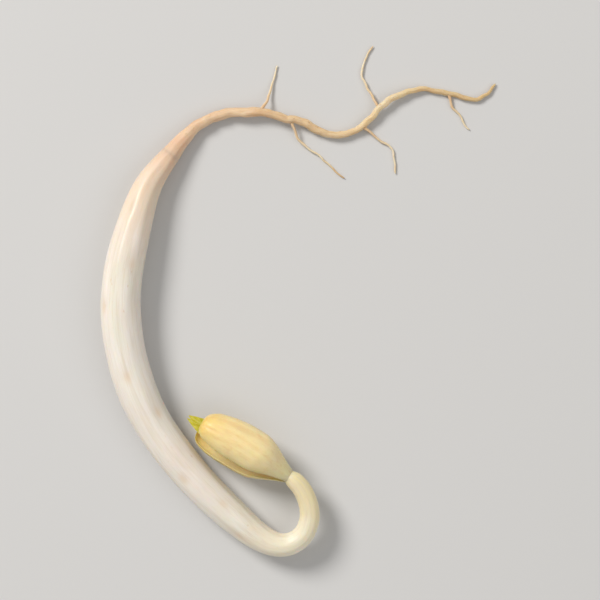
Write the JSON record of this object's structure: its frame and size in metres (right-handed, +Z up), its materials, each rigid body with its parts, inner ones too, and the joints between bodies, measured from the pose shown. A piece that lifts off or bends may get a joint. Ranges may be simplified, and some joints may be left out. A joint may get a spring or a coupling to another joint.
{
  "type": "mung bean sprout",
  "caption": "Fresh mung bean sprout lying on its side: pale curved stem with a hooked top, folded seed leaves, and a thin wavy root.",
  "frame": {"origin": "the point of the surface that the sprout lies on, under the middle of its outline seen from above", "axes": "+Z up from the surface; +X and +Y lie in the surface, with the hooked head towards -Y and the root end of the stem towards +Y"},
  "size_m": [0.032, 0.0412, 0.0047],
  "materials": {
    "stem_skin": "satin, moist and slightly translucent",
    "root_skin": "matt",
    "rootlet_skin": "matt",
    "cotyledon_skin": "satin",
    "epicotyl_skin": "satin",
    "leaf_skin": "satin"
  },
  "bodies": {
    "root": {"stem": "stem_skin", "taproot": "root_skin", "rootlet_1": "rootlet_skin", "rootlet_2": "rootlet_skin", "rootlet_3": "rootlet_skin", "rootlet_4": "rootlet_skin", "rootlet_5": "rootlet_skin", "cotyledon_upper": "cotyledon_skin", "cotyledon_lower": "cotyledon_skin", "epicotyl": "epicotyl_skin", "first_leaf_upper": "leaf_skin", "first_leaf_lower": "leaf_skin"}
  },
  "joints": []
}
